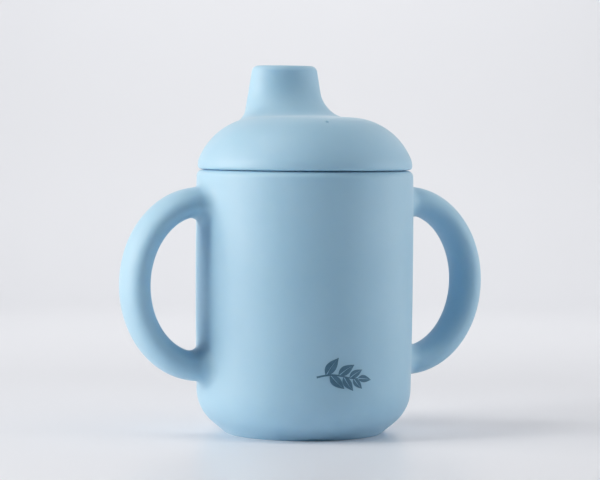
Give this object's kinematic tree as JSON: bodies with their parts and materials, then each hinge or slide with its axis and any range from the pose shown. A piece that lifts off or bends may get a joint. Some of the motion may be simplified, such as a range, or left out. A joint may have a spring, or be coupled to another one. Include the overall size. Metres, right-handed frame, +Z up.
{
  "type": "sippy cup",
  "caption": "Soft silicone training cup with loop handles moulded on both sides and a lift-off domed lid carrying an off-centre oval drinking spout.",
  "frame": {"origin": "middle of the flat foot, on the surface the cup stands on", "axes": "+X out through one handle (the handles lie along X), -Y out through the printed front, +Y towards the spout and the drinker, +Z up"},
  "size_m": [0.124, 0.0702, 0.1186],
  "materials": {
    "cup_silicone": "matt silk silicone, powder blue",
    "lid_silicone": "matt silk silicone, powder blue"
  },
  "bodies": {
    "cup": {"cup": "cup_silicone"},
    "lid": {"lid": "lid_silicone"}
  },
  "joints": [
    {"name": "lid_lift", "type": "slide", "parent": "cup", "child": "lid", "axis": [0, 0, 1], "range_m": [0, 0.04]}
  ]
}
